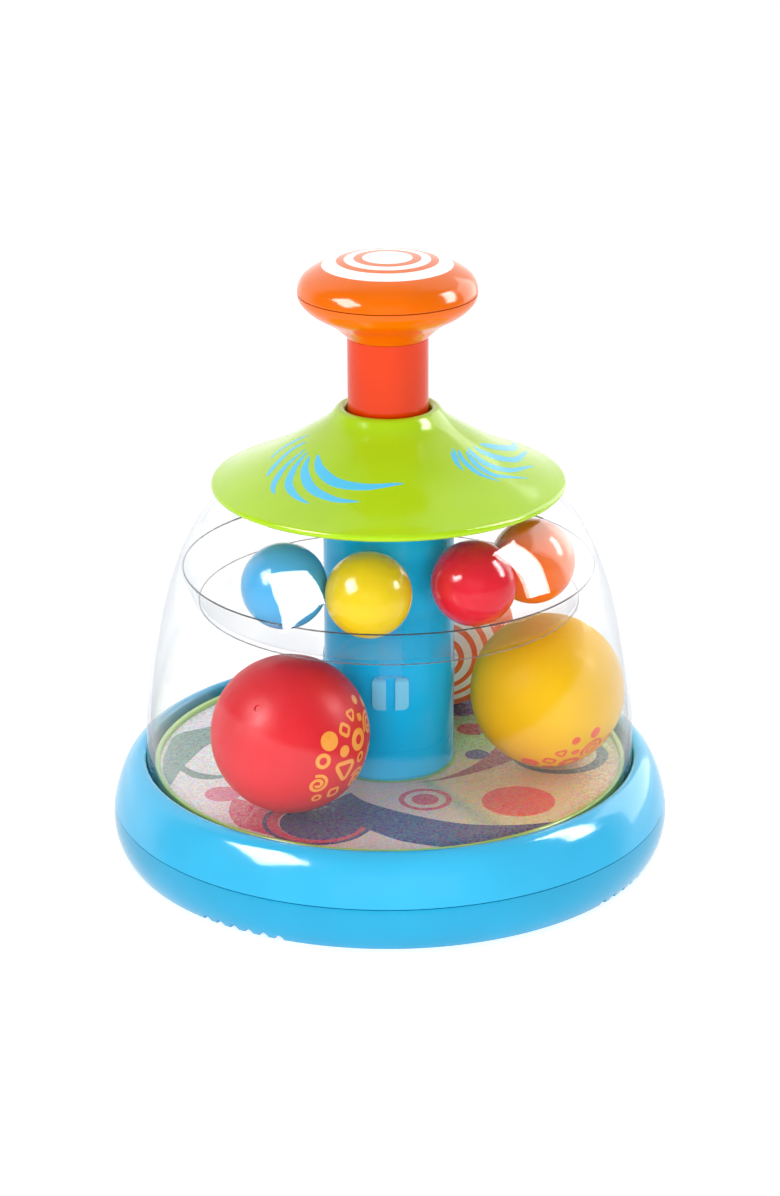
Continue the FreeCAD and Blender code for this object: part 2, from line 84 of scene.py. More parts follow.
def facing(location, target, roll=0.0):
    """The rotation that points -Z from a place to a target, rolled about that line by some degrees."""
    turn = (target - location).to_track_quat("-Z", "Y")
    return turn @ Matrix.Rotation(math.radians(roll), 3, "Z").to_quaternion()


def make_camera():
    camera = bpy.data.objects.new("camera", bpy.data.cameras.new("camera"))
    bpy.context.scene.collection.objects.link(camera)
    tilt = math.radians(VIEW_ELEVATION)
    camera.location = AIM + VIEW_DISTANCE * Vector((0, -math.cos(tilt), math.sin(tilt)))
    camera.rotation_mode = "QUATERNION"
    camera.rotation_quaternion = facing(camera.location, AIM, ROLL)
    camera.data.lens = LENS
    bpy.context.scene.camera = camera


def softbox(name, location, size, radiance, roll=0.0, lights=True, shines=True):
    """A rectangular light, hidden from the camera, that lights surfaces, shows as a highlight, or both."""
    lamp = bpy.data.lights.new(name, "AREA")
    lamp.shape = "RECTANGLE"
    lamp.size, lamp.size_y = size
    lamp.energy = radiance * math.pi * size[0] * size[1]
    light = bpy.data.objects.new(name, lamp)
    bpy.context.scene.collection.objects.link(light)
    light.location = location
    light.rotation_mode = "QUATERNION"
    light.rotation_quaternion = facing(Vector(location), LAMP_TARGET, roll)
    light.visible_camera = False
    light.visible_diffuse = lights
    light.visible_glossy = shines


def make_lamps():
    """Two highlights, a panel beside the object, and three fills that don't shine."""
    softbox("left_highlight", (-0.52, -0.355, 0.505), (0.30, 0.40), 24.0, roll=48.0, lights=False)
    softbox("right_highlight", (0.635, 0.01, 0.50), (0.19, 0.50), 22.0, roll=-19.0, lights=False)
    softbox("right_panel", (0.95, 0.8, 0.45), (0.9, 1.0), 2.2)
    softbox("left_fill", (-0.9, -0.6, 0.65), (0.8, 0.8), 2.2, shines=False)
    softbox("front_fill", (0.05, -1.3, 0.42), (1.2, 0.6), 5.2, shines=False)
    softbox("top_fill", (0.1, 0.1, 1.4), (1.2, 1.2), 1.5, shines=False)


def smooth_range(tree, source, low, high, start, end):
    """A value that goes smoothly from low to high as the source goes from start to end."""
    ranged = add(tree, "MapRange", {"From Min": start, "From Max": end, "To Min": low, "To Max": high},
                 {"Value": source})
    ranged.interpolation_type = "SMOOTHSTEP"
    return ranged.outputs["Result"]


def make_surroundings():
    """A studio that is bright behind the object and below the horizon, and dim behind the camera."""
    world = bpy.data.worlds.new("studio")
    bpy.context.scene.world = world
    world.use_nodes = True
    tree = world.node_tree
    split = add(tree, "SeparateXYZ", links={0: add(tree, "TexCoord").outputs["Generated"]})
    above = smooth_range(tree, split.outputs["Y"], *ABOVE)
    below = smooth_range(tree, split.outputs["Y"], *BELOW)
    height = smooth_range(tree, split.outputs["Z"], 0.0, 1.0, *HORIZON)
    strength = add(tree, "Mix", links={0: height, 2: below, 3: above})
    background = tree.nodes["Background"]
    background.inputs["Color"].default_value = (1, 1, 1, 1)
    tree.links.new(strength.outputs[0], background.inputs["Strength"])


def make_floor():
    """A white floor that glossy surfaces don't mirror: only the surroundings shape their shine."""
    mesh = bpy.data.meshes.new("floor")
    corners = [(x * FLOOR_HALF, y * FLOOR_HALF, 0) for x, y in ((-1, -1), (1, -1), (1, 1), (-1, 1))]
    mesh.from_pydata(corners, [], [(0, 1, 2, 3)])
    floor = bpy.data.objects.new("floor", mesh)
    bpy.context.scene.collection.objects.link(floor)
    finish, _, shader = new_material("floor_white")
    shader.inputs["Base Color"].default_value = (FLOOR_GREY, FLOOR_GREY, FLOOR_GREY, 1)
    shader.inputs["Roughness"].default_value = 0.9
    shader.inputs["Specular IOR Level"].default_value = 0.0
    shader.inputs["Emission Color"].default_value = (1, 1, 1, 1)
    shader.inputs["Emission Strength"].default_value = FLOOR_GLOW
    mesh.materials.append(finish)
    floor.visible_glossy = False


# ---------------------------------------------------------------- materials
# noise grains per metre
TONE_SCALE = 28.0
RUB_SCALE = 190.0
PEEL_SCALE = 420.0
BRUSH_SCALE = 700.0
RIPPLE_SCALE = 22.0
GLITTER_SCALE = 1350.0
GLITTER_TILT = 0.35
CLEAR_TINT = (254, 254, 254)
MIRROR_POWER = 5.0
TINT_POWER = 3.0
# opacity of the clip tabs, nearly full as painted reflection, and of the clear strips above them
TAB_SHARE = 0.9
STRIP_SHARE = 0.07

# angle about the axis in degrees, colour of the foil there
FOIL_TINTS = [
    (-180, (252, 246, 240)), (-150, (250, 244, 240)), (-112, (250, 222, 212)), (-80, (252, 222, 206)),
    (-66, (252, 226, 190)), (-60, (186, 200, 150)), (-54, (255, 226, 152)), (-38, (255, 214, 134)),
    (-12, (255, 220, 146)), (14, (170, 215, 96)), (50, (130, 200, 78)), (90, (200, 226, 212)),
    (135, (236, 232, 246)), (180, (252, 246, 240)),
]


def linear(colour):
    """An sRGB colour given as 0 to 255, as linear values."""
    shares = [c / 255 for c in colour]
    return tuple(s / 12.92 if s <= 0.04045 else ((s + 0.055) / 1.055) ** 2.4 for s in shares) + (1.0,)


def shade(colour, factor):
    return tuple(min(1.0, c * factor) for c in colour[:3]) + (1.0,)


def new_material(name):
    finish = bpy.data.materials.new(name)
    finish.use_nodes = True
    return finish, finish.node_tree, finish.node_tree.nodes["Principled BSDF"]


def add(tree, kind, settings=None, links=None):
    """A node with its socket values and incoming links set by name."""
    made = tree.nodes.new("ShaderNode" + kind)
    for socket, value in (settings or {}).items():
        made.inputs[socket].default_value = value
    for socket, source in (links or {}).items():
        tree.links.new(source, made.inputs[socket])
    return made


def noise(tree, scale, detail=2.0):
    place = add(tree, "TexCoord")
    return add(tree, "TexNoise", {"Scale": scale, "Detail": detail}, {"Vector": place.outputs["Object"]})


def spread(tree, source, low, high):
    """A noise value, which mostly lies between 0.3 and 0.7, stretched to the range low to high."""
    ranged = add(tree, "MapRange", {"From Min": 0.3, "From Max": 0.7, "To Min": low, "To Max": high},
                 {"Value": source})
    return ranged.outputs["Result"]


def blend_colours(tree, factor, first, second):
    mixed = add(tree, "Mix")
    mixed.data_type = "RGBA"
    colours = [socket for socket in mixed.inputs if socket.type == "RGBA"]
    for socket, colour in zip(colours, (first, second)):
        if isinstance(colour, tuple):
            socket.default_value = colour
        else:
            tree.links.new(colour, socket)
    if isinstance(factor, float):
        mixed.inputs[0].default_value = factor
    else:
        tree.links.new(factor, mixed.inputs[0])
    return [socket for socket in mixed.outputs if socket.type == "RGBA"][0]


def plastic(name, colour, roughness, tone=0.05, peel=0.03, shine=0.5):
    """Moulded plastic: slow tone changes, faint orange peel, and roughness that varies a little."""
    finish, tree, shader = new_material(name)
    base = linear(colour)
    slow = noise(tree, TONE_SCALE)
    factor = spread(tree, slow.outputs["Fac"], 0.0, 1.0)
    tree.links.new(blend_colours(tree, factor, shade(base, 1 - tone), shade(base, 1 + tone)),
                   shader.inputs["Base Color"])
    rub = noise(tree, RUB_SCALE, 4.0)
    tree.links.new(spread(tree, rub.outputs["Fac"], roughness * 0.8, roughness * 1.25),
                   shader.inputs["Roughness"])
    fine = noise(tree, PEEL_SCALE, 1.0)
    bump = add(tree, "Bump", {"Strength": peel, "Distance": 0.0006}, {"Height": fine.outputs["Fac"]})
    tree.links.new(bump.outputs["Normal"], shader.inputs["Normal"])
    shader.inputs["IOR"].default_value = 1.5
    shader.inputs["Specular IOR Level"].default_value = shine
    return finish


def metal(name, colour, roughness):
    """Plain metal whose tone and roughness vary in fine grains."""
    finish, tree, shader = new_material(name)
    shader.inputs["Metallic"].default_value = 1.0
    grain = noise(tree, BRUSH_SCALE, 3.0)
    base = linear(colour)
    factor = spread(tree, grain.outputs["Fac"], 0.0, 1.0)
    tree.links.new(blend_colours(tree, factor, shade(base, 0.85), base), shader.inputs["Base Color"])
    tree.links.new(spread(tree, grain.outputs["Fac"], roughness * 0.7, roughness * 1.4),
                   shader.inputs["Roughness"])
    return finish


def power(tree, source, exponent):
    raised = add(tree, "Math", {1: exponent}, {0: source})
    raised.operation = "POWER"
    return raised.outputs[0]


def clear(name, edge_tint, ripple, least, most):
    """Clear moulded plastic that lets light straight through, without bending it.

    Its mirror share goes from the least, seen head on, to the most at grazing angles."""
    finish = bpy.data.materials.new(name)
    finish.use_nodes = True
    tree = finish.node_tree
    tree.nodes.remove(tree.nodes["Principled BSDF"])
    slow = noise(tree, RIPPLE_SCALE, 1.0)
    bump = add(tree, "Bump", {"Strength": ripple, "Distance": 0.002}, {"Height": slow.outputs["Fac"]})
    grazing = add(tree, "LayerWeight", {"Blend": 0.5}).outputs["Facing"]
    mirror_share = add(tree, "MapRange", {"To Min": least, "To Max": most},
                       {"Value": power(tree, grazing, MIRROR_POWER)})
    tint = blend_colours(tree, power(tree, grazing, TINT_POWER), linear(CLEAR_TINT), linear(edge_tint))
    through = add(tree, "BsdfTransparent", links={"Color": tint})
    mirror = add(tree, "BsdfAnisotropic", {"Color": (1, 1, 1, 1), "Roughness": 0.03},
                 {"Normal": bump.outputs["Normal"]})
    both = add(tree, "MixShader", links={0: mirror_share.outputs["Result"], 1: through.outputs[0],
                                         2: mirror.outputs[0]})
    tree.links.new(both.outputs[0], tree.nodes["Material Output"].inputs["Surface"])
    return finish


def painted_light_clear(name, colour, share):
    """Part see-through plastic of one flat colour: painted shade along the edges of clear walls, and
    painted reflection on the clip tabs.
    """
    finish, _, shader = new_material(name)
    shader.inputs["Base Color"].default_value = linear(colour)
    shader.inputs["Roughness"].default_value = 0.2
    shader.inputs["Alpha"].default_value = share
    return finish


def tab_painted_reflection(name, colour, tab_top):
    """Clear strips whose tabs at their lower end are pale blue and nearly opaque: painted reflection of
    the bright surroundings in the clear plastic.
    """
    finish = painted_light_clear(name, colour, TAB_SHARE)
    tree = finish.node_tree
    shader = tree.nodes["Principled BSDF"]
    split = add(tree, "SeparateXYZ", links={0: add(tree, "TexCoord").outputs["Object"]})
    share = add(tree, "MapRange", {"From Min": tab_top - 2 * MM, "From Max": tab_top + MM,
                                   "To Min": TAB_SHARE, "To Max": STRIP_SHARE},
                {"Value": split.outputs["Z"]})
    tree.links.new(share.outputs["Result"], shader.inputs["Alpha"])
    return finish


def foil_tint(tree, place):
    """The foil's colour, which changes with the direction from the axis."""
    split = add(tree, "SeparateXYZ", links={0: place})
    angle = add(tree, "Math", links={0: split.outputs["Y"], 1: split.outputs["X"]})
    angle.operation = "ARCTAN2"
    share = add(tree, "MapRange", {"From Min": -math.pi, "From Max": math.pi}, {"Value": angle.outputs[0]})
    ramp = add(tree, "ValToRGB", links={0: share.outputs["Result"]})
    stops = ramp.color_ramp.elements
    for degrees, colour in FOIL_TINTS[1:-1]:
        stops.new((degrees + 180) / 360).color = linear(colour)
    stops[0].color = linear(FOIL_TINTS[0][1])
    stops[len(stops) - 1].color = linear(FOIL_TINTS[-1][1])
    return ramp.outputs["Color"]


def glitter(name, ink=None, strength=0.4, metallic=0.08):
    """Holographic foil: every grain has its own tint and tilt. Ink on it keeps some of the sparkle."""
    finish, tree, shader = new_material(name)
    place = add(tree, "TexCoord").outputs["Object"]
    grains = add(tree, "TexVoronoi", {"Scale": GLITTER_SCALE}, {"Vector": place})
    base = linear(ink) if ink else foil_tint(tree, place)
    tree.links.new(blend_colours(tree, strength, base, grains.outputs["Color"]),
                   shader.inputs["Base Color"])
    tilt = add(tree, "VectorMath", {1: (0.5, 0.5, 0.5)}, {0: grains.outputs["Color"]})
    tilt.operation = "SUBTRACT"
    scaled = add(tree, "VectorMath", links={0: tilt.outputs[0]})
    scaled.operation = "SCALE"
    scaled.inputs["Scale"].default_value = GLITTER_TILT
    leaning = add(tree, "VectorMath", links={0: add(tree, "NewGeometry").outputs["Normal"],
                                             1: scaled.outputs[0]})
    leaning.operation = "ADD"
    unit = add(tree, "VectorMath", links={0: leaning.outputs[0]})
    unit.operation = "NORMALIZE"
    tree.links.new(unit.outputs[0], shader.inputs["Normal"])
    shader.inputs["Metallic"].default_value = metallic
    shader.inputs["Roughness"].default_value = 0.32
    return finish


# ---------------------------------------------------------------- artwork
# A mark is a ribbon: its two edges, as rows of points, and whether they close on themselves.
TIP_LEAN = 0.85
TIP_FULLNESS = 0.8
CORNER_SOFTNESS = 0.3
CORNER_STEPS = 5


def point(x, y):
    return Vector((x, y))


def polar(radius, degrees):
    return Vector((radius * math.cos(math.radians(degrees)), radius * math.sin(math.radians(degrees))))


def through(points, steps=8):
    """A smooth open line through points."""
    last = len(points) - 1
    line = []
    for index in range(last):
        a, b, c, d = (points[min(max(index + k, 0), last)] for k in (-1, 0, 1, 2))
        for step in range(steps):
            t = step / steps
            line.append(0.5 * (2 * b + (c - a) * t + (2 * a - 5 * b + 4 * c - d) * t ** 2
                               + (3 * b - a - 3 * c + d) * t ** 3))
    line.append(points[last].copy())
    return line


def evened(line, count):
    """The same open line with a given number of evenly spaced points."""
    lengths = [0.0]
    for a, b in zip(line, line[1:]):
        lengths.append(lengths[-1] + (b - a).length)
    result, index = [], 0
    for step in range(count):
        target = lengths[-1] * step / (count - 1)
        while index < len(line) - 2 and lengths[index + 1] < target:
            index += 1
        share = (target - lengths[index]) / max(lengths[index + 1] - lengths[index], 1e-9)
        result.append(line[index].lerp(line[index + 1], min(max(share, 0.0), 1.0)))
    return result


def sideways(line, index, closed):
    count = len(line)
    before = line[(index - 1) % count] if closed else line[max(index - 1, 0)]
    after = line[(index + 1) % count] if closed else line[min(index + 1, count - 1)]
    along = (after - before).normalized()
    return Vector((-along.y, along.x))


def stroke(line, width, closed=False, tips=False):
    """A ribbon of one width along a line, or one that narrows to a point at both ends."""
    left, right = [], []
    last = len(line) - 1
    for index, place in enumerate(line):
        half = width / 2
        if tips:
            swell = math.sin(math.pi * (index / last) ** TIP_LEAN) if 0 < index < last else 0.0
            half *= swell ** TIP_FULLNESS
        aside = sideways(line, index, closed) * half
        left.append(place + aside)
        right.append(place - aside)
    return left, right, closed


def circle(x, y, radius, count=56):
    return [point(x, y) + polar(radius, 360 * k / count) for k in range(count)]


def ring(x, y, outer, inner):
    return circle(x, y, inner), circle(x, y, outer), True


def disc(x, y, radius):
    return ring(x, y, radius, 0.0)


def rounded(corners):
    """A closed outline with its corners rounded off."""
    outline = []
    for index, corner in enumerate(corners):
        start = corner.lerp(corners[index - 1], CORNER_SOFTNESS)
        end = corner.lerp(corners[(index + 1) % len(corners)], CORNER_SOFTNESS)
        for step in range(CORNER_STEPS + 1):
            t = step / CORNER_STEPS
            outline.append(start.lerp(corner, t).lerp(corner.lerp(end, t), t))
    return outline


def finer(outline, step=0.8):
    """The same closed outline with points along its straight sides."""
    points = []
    for a, b in zip(outline, outline[1:] + outline[:1]):
        pieces = max(1, math.ceil((b - a).length / step))
        points += [a.lerp(b, k / pieces) for k in range(pieces)]
    return points


def frame_of(corners, width):
    """A rounded polygon drawn as an outline."""
    return stroke(finer(rounded([point(*c) for c in corners])), width, closed=True)


def filled(corners):
    """A rounded polygon drawn solid."""
    outline = finer(rounded([point(*c) for c in corners]))
    middle = sum(outline, point(0, 0)) / len(outline)
    return [middle] * len(outline), outline, True


def spiral(x, y, outer, inner, start, turns, width):
    count = int(26 * abs(turns))
    line = [point(x, y) + polar(outer + (inner - outer) * k / count, start + 360 * turns * k / count)
            for k in range(count + 1)]
    return stroke(line, width)


def between(edge, other, count=40):
    """A ribbon between two smooth lines given by a few points each."""
    return (evened(through([point(*p) for p in edge]), count),
            evened(through([point(*p) for p in other]), count), False)


# ---------------------------------------------------------------- surfaces the prints lie on
PRINT_LIFT = 0.05 * MM
PRINT_SINK = 0.10 * MM
PRINT_STACK = 0.001 * MM
SHARP_ANGLE = math.radians(50)
SKYWARD = 0.25
CROWN_MARGIN = 3


def on_flat(height):
    """Lays artwork flat at a height."""
    return lambda x, y, lift: Vector((x * MM, y * MM, height + lift))


def on_ball(node, axis):
    """Lays artwork on a ball around the point that lies in a given direction from its middle."""
    low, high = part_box(node)
    middle, radius = (low + high) / 2, (high.z - low.z) / 2
    axis = Vector(axis).normalized()
    right = Vector((0, 0, 1)).cross(axis).normalized()
    up = axis.cross(right)

    def place(x, y, lift):
        distance = math.hypot(x, y) * MM
        if distance < 1e-9:
            return middle + axis * (radius + lift)
        away = (right * x + up * y).normalized()
        angle = distance / radius
        return middle + (axis * math.cos(angle) + away * math.sin(angle)) * (radius + lift)

    return place


def on_crown(node, inner, outer):
    """Lays artwork on the top skin of a turned part, between two radii in millimetres."""
    nearest, farthest = (inner - CROWN_MARGIN) * MM, (outer + CROWN_MARGIN) * MM
    heights = {}
    for vertex in nodes[node].data.vertices:
        radius = math.hypot(vertex.co.x, vertex.co.y)
        if vertex.normal.z > SKYWARD and nearest < radius < farthest:
            heights[round(radius / MM, 2)] = max(vertex.co.z, heights.get(round(radius / MM, 2), 0.0))
    radii = sorted(heights)

    def place(x, y, lift):
        radius = math.hypot(x, y)
        above = next((k for k, r in enumerate(radii) if r >= radius), len(radii) - 1)
        below = max(above - 1, 0)
        span = max(radii[above] - radii[below], 1e-9)
        share = min(max((radius - radii[below]) / span, 0.0), 1.0)
        low, high = heights[radii[below]], heights[radii[above]]
        return Vector((x * MM, y * MM, low + (high - low) * share + lift))

    return place


def print_piece(name, ribbons, place, finish, body, widest_step=2.0):
    """Thin closed solids, one for each ribbon, laid on a surface as one piece."""
    mesh = bmesh.new()
    for order, (first, second, closed) in enumerate(ribbons):
        widest = max((b - a).length for a, b in zip(first, second))
        across = max(1, math.ceil(widest / widest_step))
        layers = []
        for lift in (PRINT_LIFT - order * PRINT_STACK, -PRINT_SINK):
            layers.append([[mesh.verts.new(place(*a.lerp(b, k / across), lift))
                            for k in range(across + 1)] for a, b in zip(first, second)])
        top, under = layers
        count = len(first)
        for row in range(count if closed else count - 1):
            after = (row + 1) % count
            for k in range(across):
                mesh.faces.new((top[row][k], top[row][k + 1], top[after][k + 1], top[after][k]))
                mesh.faces.new((under[row][k], under[after][k], under[after][k + 1], under[row][k + 1]))
            for k in (0, across):
                mesh.faces.new((top[row][k], top[after][k], under[after][k], under[row][k]))
        if not closed:
            for row in (0, count - 1):
                for k in range(across):
                    mesh.faces.new((top[row][k], top[row][k + 1], under[row][k + 1], under[row][k]))
    bmesh.ops.remove_doubles(mesh, verts=mesh.verts, dist=1e-6)
    bmesh.ops.dissolve_degenerate(mesh, edges=mesh.edges, dist=1e-7)
    bmesh.ops.recalc_face_normals(mesh, faces=mesh.faces)
    finished_piece(name, mesh, finish, body)


def finished_piece(name, mesh, finish, body):
    """Makes the mesh an object with a material, on a body of the frame."""
    for face in mesh.faces:
        face.smooth = True
    data = bpy.data.meshes.new(name)
    mesh.to_mesh(data)
    mesh.free()
    data.set_sharp_from_angle(angle=SHARP_ANGLE)
    data.materials.append(finish)
    piece = bpy.data.objects.new(name, data)
    bpy.context.scene.collection.objects.link(piece)
    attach(piece, body)


# ---------------------------------------------------------------- prints
def paint(name, colour, roughness=0.3):
    """Printing ink, evener than moulded plastic."""
    return plastic(name, colour, roughness, tone=0.03, peel=0.01)


# inner and outer radius of each white ring or disc
KNOB_RINGS = ((0.0, 9.4), (12.7, 16.3), (19.3, 24.7))
BALL_RINGS = ((2.6, 6.6), (9.0, 12.4), (14.8, 18.0), (20.6, 24.6))
RING_POINTS = 160

# the radii between which a print lies
KNOB_REACH = (0, 26)
CAP_REACH = (29, 60)


def print_knob():
    """White rings on top of the knob."""
    rings = [(circle(0, 0, inner, RING_POINTS), circle(0, 0, outer, RING_POINTS), True)
             for inner, outer in KNOB_RINGS]
    print_piece("knob_rings", rings, on_crown("knob_top", *KNOB_REACH),
                paint("print_white", (250, 250, 250)), "plunger")


# each plume: distance from the axis and angle of points along its middle, and its width at the widest
LEFT_PLUMES = [
    ([(34.5, -140), (39.5, -130), (43.5, -116), (44, -100), (42.5, -82)], 3.9),
    ([(36, -145), (42, -138), (48, -126), (51, -113), (51, -102)], 3.6),
    ([(35, -150), (42.5, -146), (49, -139), (53, -130), (55, -122)], 3.1),
    ([(34.5, -154), (43, -153), (49.5, -148), (53, -144), (55, -140)], 2.6),
    ([(32, -161), (38, -165), (44.5, -161), (48.5, -157), (50, -155)], 2.4),
    ([(30, -168), (34.5, -174), (39.5, -176), (43, -174), (45, -170)], 2.0),
]
RIGHT_PLUMES = [
    ([(31.5, -39), (34, -44), (37.5, -47), (41, -47)], 2.4),
    ([(33, -37), (36.5, -41), (41, -41), (45, -39), (50, -34)], 2.7),
    ([(34.5, -32), (38, -35), (43, -35), (48, -31), (55.5, -18)], 2.9),
    ([(33.5, -28), (38.5, -30), (44, -27), (49.5, -18), (55.5, -2)], 3.3),
    ([(34.5, -22), (38.5, -20), (44, -13), (49, -3), (56.5, 18)], 3.7),
    ([(35.5, -14), (40, -4), (46, 8), (51, 18), (57.5, 32)], 3.9),
]
REAR_TURN = 238.0


def plume(points, width, turn):
    middle = through([polar(radius, degrees + turn) for radius, degrees in points], 10)
    return stroke(middle, width, tips=True)


def print_cap():
    """Two sprays of blue plumes on the cap, and one more behind."""
    marks = [plume(points, width, 0) for points, width in LEFT_PLUMES + RIGHT_PLUMES]
    marks += [plume(points, width, REAR_TURN) for points, width in LEFT_PLUMES]
    print_piece("cap_plumes", marks, on_crown("cap", *CAP_REACH), paint("print_sky", (70, 195, 238), 0.2),
                "housing")


def shape_cluster():
    """Small rings, dots, frames and spirals, printed in a group on a ball."""
    marks = [disc(-3.2, 9.1, 3.7), disc(3.2, 3.6, 2.3), ring(-6.5, 1.9, 3.1, 1.6),
             ring(11.8, 5.5, 4.4, 1.9), ring(12.8, -2.2, 2.3, 1.2), ring(-6.5, -15.7, 2.1, 1.1),
             ring(20.2, -12.5, 3.0, 1.5), disc(23.0, -4.6, 4.2), disc(17.5, 20.0, 2.0),
             ring(29.5, 2.0, 2.6, 1.3), disc(26.5, 16.5, 2.6)]
    marks += [frame_of([(3.9, 14.3), (7.4, 11.8), (5.6, 8.6), (2.0, 11.2)], 1.3),
              frame_of([(7.6, 17.2), (12.8, 17.4), (10.4, 13.0)], 1.1),
              frame_of([(-1.4, -0.9), (8.6, -1.5), (4.0, -9.8)], 1.7),
              frame_of([(-1.8, -12.4), (2.2, -12.0), (3.0, -16.0), (-1.2, -16.6)], 1.2),
              frame_of([(28.2, -8.8), (32.6, -8.2), (30.6, -12.8)], 1.2),
              filled([(14.0, 15.0), (17.6, 14.4), (17.2, 11.4), (14.2, 11.8)])]
    marks += [spiral(-7.9, -8.1, 4.2, 0.7, 110, -1.75, 1.3), spiral(12.7, -12.6, 5.2, 0.9, 140, -2.0, 1.4),
              spiral(22.7, 8.2, 5.4, 0.9, 200, -2.0, 1.5), spiral(22.0, -19.5, 3.6, 0.7, 30, -1.6, 1.2)]
    return marks


# the direction from each ball's middle to the middle of its print
RED_PRINT_AXIS = (0.615, -0.786, -0.062)
YELLOW_PRINT_AXIS = (-0.083, -0.385, -0.919)
ORANGE_PRINT_AXIS = (0.0, -1.0, 0.0)


def print_balls():
    """The same cluster of shapes on the red and yellow balls, and rings on the orange one."""
    cluster = shape_cluster()
    print_piece("red_ball_print", cluster, on_ball("ball_large_red", RED_PRINT_AXIS),
                paint("print_amber", (250, 165, 60)), "ball_large_red_body")
    print_piece("yellow_ball_print", cluster, on_ball("ball_large_yellow", YELLOW_PRINT_AXIS),
                paint("print_coral", (240, 95, 60)), "ball_large_yellow_body")
    bands = [ring(0, 0, outer, inner) for inner, outer in BALL_RINGS]
    print_piece("orange_ball_print", bands, on_ball("ball_large_orange", ORANGE_PRINT_AXIS),
                paint("print_cream", (250, 245, 240)), "ball_large_orange_body")


# radius, height and thickness of each painted shade line
TRAY_RIM_SHADE = (79.1, 113.45, 0.62)
TRAY_CORNER_SHADE = (73.2, 99.5, 0.5)


def painted_shade_line(name, radius, height, thickness, finish):
    """A fine dark round line along an edge of the clear tray: painted shade for the darkening that
    refraction gives at the edge of the clear wall.
    """
    mesh = bmesh.new()
    around, across = 256, 8
    rows = []
    for step in range(around):
        turn = 2 * math.pi * step / around
        rows.append([])
        for k in range(across):
            lean = 2 * math.pi * k / across
            reach = (radius + thickness / 2 * math.cos(lean)) * MM
            rows[-1].append(mesh.verts.new((reach * math.cos(turn), reach * math.sin(turn),
                                            (height + thickness / 2 * math.sin(lean)) * MM)))
    for row, after in zip(rows, rows[1:] + rows[:1]):
        for k in range(across):
            mesh.faces.new((row[k], after[k], after[(k + 1) % across], row[(k + 1) % across]))
    bmesh.ops.recalc_face_normals(mesh, faces=mesh.faces)
    finished_piece(name, mesh, finish, "rotor")


def paint_tray_edge_shade():
    """Painted shade lines along the tray's rim and its lower corner."""
    painted_shade_line("tray_rim_painted_shade", *TRAY_RIM_SHADE, painted_light_clear("edge_painted_shade_dark", (70, 74, 80), 0.75))
    painted_shade_line("tray_corner_painted_shade", *TRAY_CORNER_SHADE, painted_light_clear("edge_painted_shade_pale", (120, 124, 130), 0.5))


# the label's outer radius, how high the lowest ink stands, the step from one ink to the next,
# and the longest side of a printed face
LABEL_RIM = 89.8
LOWEST_INK = 0.010 * MM
INK_STEP = 4 * PRINT_STACK
INK_GRID = 12.0


def rim_points(first, last, count=7):
    """Points along the label's rim between two angles."""
    return [tuple(polar(LABEL_RIM, first + (last - first) * k / (count - 1))) for k in range(count)]


def label_artwork():
    """Colour, turns about the axis and marks for each ink, the topmost ink first."""
    swirl = between([(-15, -35), (-10, -43), (0, -51), (10, -57), (20, -62), (30, -65), (40, -66),
                     (50, -65.5), (58, -64), (63.5, -62.5)],
                    [(-25, -47), (-20, -55), (-12, -65), (-4, -73), (6, -80.5)] + rim_points(-74, -46))
    sweep = between([(8, -27), (18, -23), (27, -16), (35, -6), (40, 4), (44, 13), (45, 24)],
                    [(8, -27), (20, -23.5), (31, -18), (41, -11), (49, -3), (53, 5), (55, 16)])
    hook = between([(-35, 50), (-55, 42), (-74, 30), (-85, 23), (-88, 10), (-89, -4), (-88, -16),
                    (-85, -28)],
                   [(-35, 50), (-55, 30), (-66, 19), (-73, 11), (-78, -2), (-81, -10), (-83, -20),
                    (-84.6, -28.2)])
    hook_ring = between([(-82, -10), (-79, -17), (-75, -21), (-69, -22), (-64, -20)],
                        [(-81, -9), (-77, -15), (-74, -17.5), (-69, -18.5), (-64, -17)])
    patch = between([(-60, -40), (-61, -50), (-60, -58), (-57, -66)],
                    [(-38, -50), (-43, -60), (-40, -70), (-36, -80)])
    band = between([(12, 37), (28, 41.5), (50, 44)], [(12, 47), (28, 51.5), (50, 57)])
    crescent = (circle(65.3, 1.8, 16.3), circle(67, 1, 19.3), True)
    both = (0, 180)
    return {
        "navy": ((22, 24, 118), both, [disc(-26, -63, 15.5), ring(-27, -62, 21, 19.2), swirl]),
        "indigo": ((30, 34, 108), (0,), [band, disc(34.5, 1.2, 4.8)]),
        "crimson": ((226, 24, 66), both, [ring(13.5, -42, 10.2, 8.0), disc(13.5, -42, 5.2)]),
        "red": ((250, 56, 34), both, [disc(49, -44, 14)]),
        "maroon": ((170, 44, 30), both, [sweep, disc(33, 27, 6)]),
        "magenta": ((226, 40, 84), both, [patch, ring(-26.6, -62.4, 19.2, 15.5)]),
        "pink": ((228, 84, 136), both, [disc(-64, -36, 7)]),
        "moss": ((92, 142, 124), (0,), [hook, hook_ring]),
        "olive": ((84, 118, 104), both, [crescent]),
    }


def turned(mark, degrees):
    """The same mark turned about the toy's axis."""
    first, second, closed = mark
    turn = Matrix.Rotation(math.radians(degrees), 2)
    return [p @ turn for p in first], [p @ turn for p in second], closed


def print_label():
    """The turntable label: swirls, targets and dots in sparkling ink on glitter foil."""
    foil_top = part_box("turntable_label")[1].z
    artwork = label_artwork()
    for index, (ink, (colour, turns, marks)) in enumerate(artwork.items()):
        finish = glitter("ink_" + ink, colour, strength=0.22, metallic=0.05)
        height = foil_top + LOWEST_INK - PRINT_LIFT + (len(artwork) - index) * INK_STEP
        for turn in turns:
            print_piece(f"label_{ink}_{turn}", [turned(mark, turn) for mark in marks], on_flat(height),
                        finish, "rotor", widest_step=INK_GRID)


